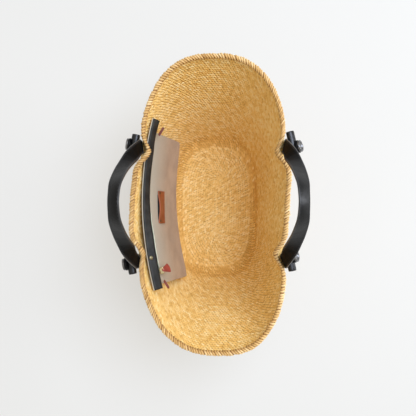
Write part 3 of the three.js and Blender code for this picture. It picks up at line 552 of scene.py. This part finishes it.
def rim_whip():
    """The border: a coil on the wall's top edge, whipped over with leaning straw strands."""
    angles = evenly(WALL_TOP, 0.0, COIL["stations"], np.zeros(COIL["stations"]))
    outer, inner = outline(angles, WALL_TOP), outline(angles, WALL_TOP, WALL)
    out = unit((outer - inner) * [1, 1, 0])
    middle = (outer + inner) / 2
    turns = np.linspace(0, 2 * math.pi, COIL["sides"] + 1)[:-1]
    coil = []
    for turn in turns:
        p = middle + out * math.cos(turn) * COIL["half_width"]
        p[:, 2] = WALL_TOP + COIL["centre"] + math.sin(turn) * COIL["half_height"]
        coil.append(p)
    coil = np.stack(coil, 1)
    faces = grid_faces(len(coil), len(turns), True, True)
    # The coil, in dark straw as painted shade, shows through the gaps between the strands.
    add_mesh("rim_core", metres(coil.reshape(-1, 3)), faces, STRAW_COIL_SHADE, "straw",
             tints=np.full(coil.shape[0] * coil.shape[1], 0.5))
    count = int(round(ring_length(WALL_TOP, 0.0) / WHIP["pitch"]))
    walk = ring_length(WALL_TOP, 0.0) / count
    steps, columns = WHIP["steps"], WHIP["columns"]
    strands = []
    tints = []
    start = rng.uniform(-0.06, 0.06, count)
    for strand in range(2):
        for k in range(count):
            # From inside the wall, over the coil and down the outside, leaning along the rim.
            around = np.linspace(-WHIP["overlap"] * math.pi, (1 + WHIP["overlap"]) * math.pi, steps)
            travel = np.linspace(-WHIP["lean"], WHIP["lean"], steps) + (strand - 0.5) * WHIP["spread"]
            place = (k + start[k] + travel) % count
            fat = 1 + rng.normal(0, 0.06)
            taper = WHIP["half_width"] * np.sin(np.linspace(0.12, math.pi - 0.3, steps)) ** 0.75
            grid = []
            for c in range(columns):
                side = (c / (columns - 1)) * 2 - 1
                spot = place + side * taper
                angle = np.interp(spot % count / count * walk * count, RIM_WALK, RING)
                a, b = outline(angle, WALL_TOP), outline(angle, WALL_TOP, WALL)
                o = unit((a - b) * [1, 1, 0])
                bulge = (1 - side * side) ** 0.5
                r = (WHIP["radius"] + WHIP["crown"] * bulge) * fat
                p = (a + b) / 2 - o * (np.cos(around) * r)[:, None]
                p[:, 2] = WALL_TOP + WHIP["centre"] + np.sin(around) * (r + 0.1 * (bulge - 1))
                grid.append(p)
            strands.append(np.stack(grid, 1))
            # Painted shade: each strand runs from dark where it comes up inside the wall to light over the
            # top and down the outside.
            tone = np.linspace(0.05, 0.95, steps) + rng.normal(0, 0.16)
            tints.append(np.repeat(np.clip(tone, 0, 1), columns))
    faces = []
    for i in range(len(strands)):
        faces += grid_faces(steps, columns, start=i * steps * columns)
    points = np.concatenate([s.reshape(-1, 3) for s in strands])
    whip = add_mesh("rim_whip", metres(points), faces, STRAW_BORDER_SHADED, "straw", tints=np.concatenate(tints))
    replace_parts(whip, "rim_border")


straw_shell()
for face in (1, -1):
    wall_stitches(face)
    base_stitches(face)
rim_whip()

# The handles


def arch_value(run, key):
    """A column of the arch table as a Catmull-Rom curve, at a share of the run."""
    x, y = 1 - np.asarray(ARCH["run"]), np.asarray(ARCH[key])
    points = np.stack([x, y], 1)
    n = len(points)
    line = []
    for p in np.linspace(0, n - 1, 401):
        i = min(int(p), n - 2)
        w = p - i
        p0, p1, p2, p3 = points[max(i - 1, 0)], points[i], points[i + 1], points[min(i + 2, n - 1)]
        v0, v1 = (p2 - p0) / 2, (p3 - p1) / 2
        cube, square = 2 * p1 - 2 * p2 + v0 + v1, -3 * p1 + 3 * p2 - 2 * v0 - v1
        line.append(cube * w ** 3 + square * w ** 2 + v0 * w + p1)
    line = np.asarray(line)
    return np.interp(1 - np.asarray(run), line[:, 0], line[:, 1])


def strap_seat(side, end, z):
    """Middle of a strap at a height outside the wall, and the way along the wall."""
    middle = end * STRAP["spacing"] / 2
    half = STRAP["width"] / 2
    overhang = (BORDER["width"] - WALL) / 2 if z > WALL_TOP - BORDER["height"] else 0

    def reach(y):
        return np.array([wall_x(side, y, min(z, WALL_TOP)) + side * overhang, y, 0.0])

    near, far = reach(middle - end * half), reach(middle + end * half)
    along = unit(far - near)
    out = np.array([along[1], -along[0], 0.0])
    if out[0] * side < 0:
        out = -out
    between = [reach(y) - near for y in np.linspace(near[1], far[1], 9)]
    lift = max(0.0, max(float(p @ out) for p in between))
    centre = (near + far) / 2 + out * (lift + STRAP["gap"] + STRAP["thickness"] / 2)
    centre[2] = z
    return centre, along


def strap_stations(side, lean, turn):
    foot = HEIGHT - STRAP["tail"]
    below = np.linspace(foot, WALL_TOP - BORDER["height"] - 1, 9)
    tail = np.concatenate([below, np.linspace(WALL_TOP, HEIGHT - 1, 3)])
    tops = {end: strap_seat(side, end, HEIGHT) for end in (1, -1)}
    summit = (tops[1][0][0] + tops[-1][0][0]) / 2 + side * lean * STRAP["lean"]
    tilt = math.radians(STRAP["tilt"] * turn)
    flat = np.array([side * math.cos(tilt), 0.0, -math.sin(tilt)])
    runs = np.cos(np.linspace(0, math.pi / 2, 41))
    reach, rise, turned = (arch_value(runs, key) for key in ("reach", "rise", "turn"))
    halves = []
    for end in (1, -1):
        centre, along = tops[end]
        seats = [strap_seat(side, end, z) for z in tail]
        centres = [s[0] for s in seats]
        acrosses = [s[1] for s in seats]
        for run, a, b, c in zip(runs, reach, rise, turned):
            centres.append(np.array([centre[0] + (summit - centre[0]) * a, centre[1] * run,
                                     HEIGHT + STRAP["rise"] * b]))
            acrosses.append(unit(along * (1 - c) + flat * c))
        halves.append((centres, acrosses))
    centres = np.array(halves[0][0] + halves[1][0][:-1][::-1])
    across = np.array(halves[0][1] + halves[1][1][:-1][::-1])
    for _ in range(2):
        centres[1:-1] = centres[1:-1] * 0.5 + (centres[:-2] + centres[2:]) * 0.25
    along = unit(np.gradient(centres, axis=0))
    across = np.where((across[:, :1] * side) < 0, -across, across)
    across = unit(across - along * (across * along).sum(1, keepdims=True))
    return centres, along, across, np.cross(along, across)


def rounded_section(width, thickness, radius, steps):
    points = []
    for sx, sy, start in ((1, 1, 0), (-1, 1, 90), (-1, -1, 180), (1, -1, 270)):
        for k in range(steps + 1):
            turn = math.radians(start + 90 * k / steps)
            points.append((sx * (width / 2 - radius) + radius * math.cos(turn),
                           sy * (thickness / 2 - radius) + radius * math.sin(turn)))
    return points


def sewn_line(name, points, directions, normals):
    """A row of thread stitches: small round-ended strands that dip into the surface."""
    shape, faces = stitch_shape((-0.6, 0.0, 0.6), (0.9, 1.0, 0.9), (1.0, 1.1, 1.0))
    count = len(points)
    across = np.cross(normals, directions)
    sizes = [np.full(count, SEWING["length"] / 2), np.full(count, SEWING["radius"]),
             np.full(count, SEWING["radius"] * 1.2)]
    points, faces = many(shape, faces, points, directions, across, normals, sizes)
    add_mesh(name, metres(points), faces, THREAD, "leather")


def handle(name, side, lean, turn):
    centres, along, across, face = strap_stations(side, lean, turn)
    section = rounded_section(STRAP["width"], STRAP["thickness"], 1.1, 3)
    rings = [[c + u * a + v * f for u, v in section] for c, a, f in zip(centres, across, face)]
    points, faces = closed_loft(rings)
    sides = [np.mean([section[i % len(section)][0] for i in f]) for f in faces]
    # Edge faces take the edge paint, which carries a painted highlight.
    edge = np.abs(sides) > STRAP["width"] / 2 - 0.9
    points = metres(points)
    kinds = [len(GRIPS) if on_edge else int(np.searchsorted(GRIP_HEIGHTS, points[face, 2].mean()))
             for face, on_edge in zip(faces, edge)]
    strap = add_mesh(f"strap_{name}", points, faces, [*GRIPS, EDGE_PAINT_AND_HIGHLIGHT], "leather", angle=50, kinds=kinds)
    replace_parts(strap, f"handle_strap_{name}")
    walked = np.concatenate([[0], np.cumsum(np.linalg.norm(np.diff(centres, axis=0), axis=1))])
    spots = np.arange(SEWING["margin"], walked[-1] - 4, SEWING["spacing"])
    at = []
    for values in (centres, along, across, face):
        at.append(np.stack([np.interp(spots, walked, values[:, i]) for i in range(3)], 1))
    p, d, a, f = at[0], unit(at[1]), unit(at[2]), unit(at[3])
    inset, proud = STRAP["width"] / 2 - SEWING["inset"], STRAP["thickness"] / 2 - SEWING["sunk"]
    lines = [(p + a * u * inset + f * v * proud, d, f * v) for u in (1, -1) for v in (1, -1)]
    sewn_line(f"strap_stitching_{name}", np.concatenate([x[0] for x in lines]),
              np.concatenate([x[1] for x in lines]), np.concatenate([x[2] for x in lines]))


def lathe(name, profile, place, material, slot):
    """Turns a profile of (radius, height) in millimetres round the local X axis and places it."""
    turns = np.linspace(0, 2 * math.pi, 49)[:-1]
    rings = []
    for radius, height in profile:
        radius = max(radius, 0.01)
        rings.append([(height, radius * math.cos(t), radius * math.sin(t)) for t in turns])
    points, faces = closed_loft(rings)
    points = points @ place[:3, :3].T + place[:3, 3]
    return add_mesh(name, metres(points), faces, material, slot, angle=40)


def rolled_bar(name, place):
    """A toggle rolled from one strip of leather: its spiral shows at both ends."""
    radius, length, skin = TOGGLE["diameter"] / 2 + ROLL["fuller"], TOGGLE["length"], ROLL["skin"]
    turns = np.linspace(0, ROLL["turns"] * 2 * math.pi, ROLL["points"])
    spiral = radius - skin * (turns[-1] - turns) / (2 * math.pi)
    outside = np.clip(spiral, 0.4, radius)
    inside = np.clip(spiral - skin + ROLL["slit"], 0.1, radius)
    stations = np.linspace(-1, 1, 15)
    stations = np.sign(stations) * np.abs(stations) ** 0.6
    rings = []
    for s in stations:
        tight = 1 - ROLL["tight"] * max(abs(s) - 0.86, 0) / 0.14
        y = s * length / 2
        there = zip([*outside, *inside[::-1]], [*turns, *turns[::-1]])
        rings.append([(r * tight * math.cos(t), y, r * tight * math.sin(t)) for r, t in there])
    rings = np.asarray(rings)
    rows, columns = rings.shape[:2]
    faces = grid_faces(rows, columns, wrap_columns=True)
    half = columns // 2
    for start, flip in ((0, False), ((rows - 1) * columns, True)):
        for k in range(half - 1):
            quad = [start + k, start + k + 1, start + columns - 2 - k, start + columns - 1 - k]
            faces.append(quad[::-1] if flip else quad)
    points = rings.reshape(-1, 3) @ place[:3, :3].T + place[:3, 3]
    bar = add_mesh(f"rolled_{name}", metres(points), faces, ROLLED, "leather", angle=50)
    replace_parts(bar, name)


def handle_end(name, side, end, yaw, tilt, slide):
    heading = (0 if side > 0 else math.pi) - side * end * math.radians(yaw)
    low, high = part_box(f"toggle_{name}")
    middle = np.array((low + high) / 2) / MM - [SHIFT, 0, 0]
    turn = Matrix.Rotation(heading, 4, "Z")
    place = np.array(turn)
    place[:3, 3] = middle
    rolled_bar(f"toggle_{name}", place)
    face = np.array(turn @ Matrix.Rotation(-math.radians(tilt), 4, "Y"))
    foot = TOGGLE["diameter"] / 2 + STACK["gap"]
    stack = middle - place[:3, 1] * side * end * slide * TOGGLE["length"]
    face[:3, 3] = stack + face[:3, 0] * foot
    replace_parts(lathe(f"disc_{name}", DISC, face, BLACK, "leather"), f"washer_{name}")
    face[:3, 3] = stack + face[:3, 0] * (foot + STACK["disc"])
    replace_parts(lathe(f"cap_{name}", CAP, face, GUNMETAL, "gunmetal"), f"stud_{name}")


for row in HANDLES:
    handle(*row)
for row in HANDLE_ENDS:
    handle_end(*row)

# The pouch: its CAD solids refined, each with its own finish


def refined(node, name, material, levels=2, crease=50, move=None):
    """A smoother copy of a CAD node that stands for it."""
    bm = bmesh.new()
    bm.from_mesh(nodes[node].data)
    bmesh.ops.remove_doubles(bm, verts=bm.verts, dist=2e-5)
    bmesh.ops.join_triangles(bm, faces=bm.faces, angle_face_threshold=math.radians(30),
                             angle_shape_threshold=math.radians(80))
    layer = bm.edges.layers.float.get("crease_edge") or bm.edges.layers.float.new("crease_edge")
    for edge in bm.edges:
        if edge.calc_face_angle(0.0) > math.radians(crease):
            edge[layer] = 0.75
    mesh = bpy.data.meshes.new(name)
    bm.to_mesh(mesh)
    bm.free()
    rough = bpy.data.objects.new(name + "_rough", mesh)
    bpy.context.scene.collection.objects.link(rough)
    modifier = rough.modifiers.new("smooth", "SUBSURF")
    modifier.levels = levels
    modifier.render_levels = levels
    shape = bpy.data.meshes.new_from_object(rough.evaluated_get(bpy.context.evaluated_depsgraph_get()))
    bpy.data.objects.remove(rough)
    shape.name = name
    if move is not None:
        co = np.empty(len(shape.vertices) * 3)
        shape.vertices.foreach_get("co", co)
        shape.vertices.foreach_set("co", move(co.reshape(-1, 3)).ravel())
    obj = bpy.data.objects.new(name, shape)
    bpy.context.scene.collection.objects.link(obj)
    shape.materials.clear()
    shape.materials.append(material)
    shade(obj, 50)
    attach(obj, "root")
    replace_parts(obj, node)
    return obj


front_low, front_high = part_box("pouch_front")


def slack(points):
    """Soft waves across the front of the pouch, none at its seams and mouth."""
    y = (points[:, 1] - front_low.y) / (front_high.y - front_low.y)
    z = (points[:, 2] - front_low.z) / (front_high.z - front_low.z)
    hold = np.clip(16 * y * (1 - y) * z * (1 - z), 0, 1)
    wave = np.sin(9 * y + 3 * z) * 0.0006 + np.sin(17 * y - 5 * z + 1) * 0.00035
    wave += np.sin(6 * z + 4 * y) * 0.0004
    moved = points.copy()
    moved[:, 0] += wave * hold
    return moved


def zip_teeth():
    """Closed teeth along the middle of the tape, as small blocks across it."""
    verts = np.array([v.co[:] for v in nodes["zip_tape"].data.vertices]) / MM
    top = verts[verts[:, 2] > verts[:, 2].max() - 0.1]
    top = top[np.argsort(top[:, 1])]
    groups = np.split(top, np.where(np.diff(top[:, 1]) > 3)[0] + 1)
    inner = np.array([g[np.argmax(g[:, 0])] for g in groups])
    y = np.arange(inner[0, 1] + 3, inner[-1, 1] - 3, 1.5)
    x = np.interp(y, inner[:, 1], inner[:, 0]) - 1.5
    slope = np.gradient(x, y)
    along = unit(np.stack([slope, np.ones_like(slope), np.zeros_like(slope)], 1))
    up = np.tile([0.0, 0.0, 1.0], (len(y), 1))
    centres = np.stack([x, y, np.full_like(x, top[:, 2].mean())], 1)
    shape = [(u, v, w) for u in (-0.42, 0.42) for v in (-1.2, 1.2) for w in (-0.2, 0.3)]
    faces = [[0, 1, 3, 2], [4, 6, 7, 5], [0, 4, 5, 1], [2, 3, 7, 6], [0, 2, 6, 4], [1, 5, 7, 3]]
    ones = [np.ones(len(y))] * 3
    points, faces = many(shape, faces, centres, along, np.cross(up, along), up, ones)
    add_mesh("zip_teeth", points * MM, faces, TEETH, "brass", angle=30)


def mouth_piping():
    """The pale edge of the zip that shows along the strip's inner side, over the half near the slider."""
    verts = np.array([v.co[:] for v in nodes["pouch_top_strip"].data.vertices]) / MM
    verts = verts[np.argsort(verts[:, 1])]
    groups = np.split(verts, np.where(np.diff(verts[:, 1]) > 3)[0] + 1)
    inner = np.array([g[np.argmax(g[:, 0])] for g in groups])
    y = np.linspace(PIPING["front"], PIPING["back"], 61)
    fade = np.sin(np.linspace(0.15, math.pi - 0.15, len(y))) ** 0.35
    x = np.interp(y, inner[:, 1], inner[:, 0]) + 0.35
    centres = np.stack([x, y, np.full_like(y, inner[:, 2].mean() - 0.9)], 1)
    turns = np.linspace(0, 2 * math.pi, 9)[:-1]
    rings = []
    for centre, size in zip(centres, fade):
        radius = PIPING["radius"] * size
        rings.append([centre + [radius * math.cos(t), 0, radius * math.sin(t)] for t in turns])
    points, faces = closed_loft(rings)
    add_mesh("mouth_piping", points * MM, faces, PIPED, "zip_tape", angle=60)


def lifted(points):
    """The puller a little less steep, turned about the end that the slider holds."""
    root = np.array([points[:, 0].min(), points[:, 1].mean(), points[:, 2].max()])
    turn = np.array(Matrix.Rotation(math.radians(PULLER["turn"]), 3, "Y"))
    return (points - root) @ turn.T * PULLER["size"] + root - [PULLER["nearer"], 0, 0]


def splayed(points):
    """An end tab folded narrow and splayed outward from the mouth's end."""
    low, high = points.min(0), points.max(0)
    end = 1 if low[1] + high[1] > 0 else -1
    root = np.array([(low[0] + high[0]) / 2, low[1] if end > 0 else high[1], (low[2] + high[2]) / 2])
    turn = np.array(Matrix.Rotation(math.radians(TAB_FOLD["turn"] * end), 3, "Z"))
    folded = (points - root) * [TAB_FOLD["narrow"], TAB_FOLD["long"], 1]
    return folded @ turn.T + root - [TAB_FOLD["nearer"], 0, 0]


def taller(points):
    """The label a little deeper than its solid, down the pouch's sloping front."""
    top, foot = points[:, 2].max(), points[:, 2].min()
    upper, lower = points[points[:, 2] > top - 1e-3, 0].min(), points[points[:, 2] < foot + 1e-3, 0].min()
    slope = (lower - upper) / (foot - top)
    down = points[:, 2] - top
    return slack(points + np.outer(down * LABEL_DEEPER, [slope, 0, 1]))


def label_gap_shadow():
    """A near-black strip behind the label, showing along its gaping upper edge as painted shadow in the
    gap.
    """
    verts = np.array([v.co[:] for v in nodes["label_patch"].data.vertices])
    top = verts[verts[:, 2] > verts[:, 2].max() - 2e-4]
    top = top[np.argsort(top[:, 1])]
    groups = np.split(top, np.where(np.diff(top[:, 1]) > 2e-3)[0] + 1)
    rear = np.array([g[np.argmin(g[:, 0])] for g in groups])[1:-1]
    y = np.linspace(rear[0, 1], rear[-1, 1], 25)
    outer = np.interp(y, rear[:, 1], rear[:, 0]) - 2e-4
    share = (y - y[0]) / (y[-1] - y[0])
    chord = rear[0, 0] + (rear[-1, 0] - rear[0, 0]) * share - 7e-4
    foot, head = rear[0, 2] - 3e-3, rear[0, 2] - 1e-3
    rings = []
    for a, b, c in zip(chord, outer, y):
        rings.append([(a, c, foot), (b, c, foot), (b, c, head), (a, c, head)])
    points, faces = closed_loft(rings)
    add_mesh("label_gap_shadow", slack(points), faces, LABEL_GAP_SHADOW, "tan_leather", angle=30)


back = refined("pouch_back", "canvas_back", CANVAS, 1)
front = refined("pouch_front", "canvas_front", CANVAS, 2, move=slack)
refined("strip_backing", "mouth_backing", CANVAS, 1, 30)
refined("pouch_top_strip", "mouth_strip", BLACK_STRIP, 1, 30)
refined("zip_tape", "tape", TAPE, 1, 30)
zip_teeth()
mouth_piping()
refined("zip_slider", "slider_body", SLIDER, 2, 30)
refined("zip_puller", "puller_tongue", RED, 2, 30, move=lifted)
for end in ("back", "front"):
    refined(f"zip_end_tab_{end}", f"end_tab_{end}", TAB, 2, 30, move=splayed)
    refined(f"strip_rivet_{end}", f"strip_rivet_head_{end}", DULL_BRASS, 2, 60)
    refined(f"label_rivet_{end}", f"label_rivet_head_{end}", OLD_BRASS, 2, 60, move=slack)
refined("label_patch", "bare_label", TAN, 2, 40, move=taller)
label_gap_shadow()

# Floor, light and camera

floor_paint = Paint("pale_floor", roughness=0.85, specular=0.15)
floor_tones = [(0.3, (0.29, 0.292, 0.277)), (0.7, (0.3, 0.302, 0.287))]
floor_paint.colour(floor_paint.ramp(floor_paint.noise(2, 2), floor_tones))
floor_paint.shader.inputs["Emission Color"].default_value = (1, 1, 1, 1)
floor_paint.shader.inputs["Emission Strength"].default_value = 0.46
corners = [(-6, -6, 0), (6, -6, 0), (6, 6, 0), (-6, 6, 0)]
floor = add_mesh("floor", corners, [[0, 1, 2, 3]], floor_paint.material)

# A studio sky, dimmer towards the horizon.
world = bpy.data.worlds.new("studio")
bpy.context.scene.world = world
bpy.context.scene.view_settings.view_transform = "Standard"
world.use_nodes = True
sky = world.node_tree
way = sky.nodes.new("ShaderNodeTexCoord")
split = sky.nodes.new("ShaderNodeSeparateXYZ")
fade = sky.nodes.new("ShaderNodeMapRange")
sky.links.new(way.outputs["Generated"], split.inputs[0])
sky.links.new(split.outputs["Z"], fade.inputs["Value"])
for key, value in (("From Min", 0.0), ("From Max", 0.75), ("To Min", 0.35), ("To Max", 0.9)):
    fade.inputs[key].default_value = value
sky.links.new(fade.outputs["Result"], sky.nodes["Background"].inputs["Strength"])
sky.nodes["Background"].inputs["Color"].default_value = (1.01, 0.945, 0.84, 1)


def soft_light(name, place, target, size, power, colour):
    data = bpy.data.lights.new(name, "AREA")
    data.color = colour
    data.size = size
    data.energy = power
    lamp = bpy.data.objects.new(name, data)
    lamp.location = place
    lamp.rotation_euler = (Vector(target) - Vector(place)).to_track_quat("-Z", "Y").to_euler()
    bpy.context.scene.collection.objects.link(lamp)


soft_light("key", (0.7, 0.45, 2.1), (0, 0, 0.1), 1.2, 38, (0.9, 1.01, 1.27))
soft_light("side", (1.6, 0.15, 0.5), (0.1, 0, 0.5), 0.6, 9, (0.96, 1.0, 1.08))

# The camera stands above the bag. The point straight below it lies a little right of the frame's
# middle and a little below it, in pixels.
FOCAL_PIXELS = 577.8
BELOW_CAMERA = (28, 8)
CAMERA_PLACE = (0.03696, -0.01864, 1.175)
camera_data = bpy.data.cameras.new("camera")
camera_data.lens = 50
camera_data.sensor_width = 36
camera = bpy.data.objects.new("camera", camera_data)
bpy.context.scene.collection.objects.link(camera)
down = Vector((BELOW_CAMERA[0] / FOCAL_PIXELS, -BELOW_CAMERA[1] / FOCAL_PIXELS, -1)).normalized()
back_axis = -down
right_axis = (Vector((1, 0, 0)) - back_axis * back_axis.x).normalized()
up_axis = back_axis.cross(right_axis)
pose = Matrix((right_axis, up_axis, back_axis)).to_4x4()
pose.translation = Vector(CAMERA_PLACE)
camera.matrix_world = pose
bpy.context.scene.camera = camera
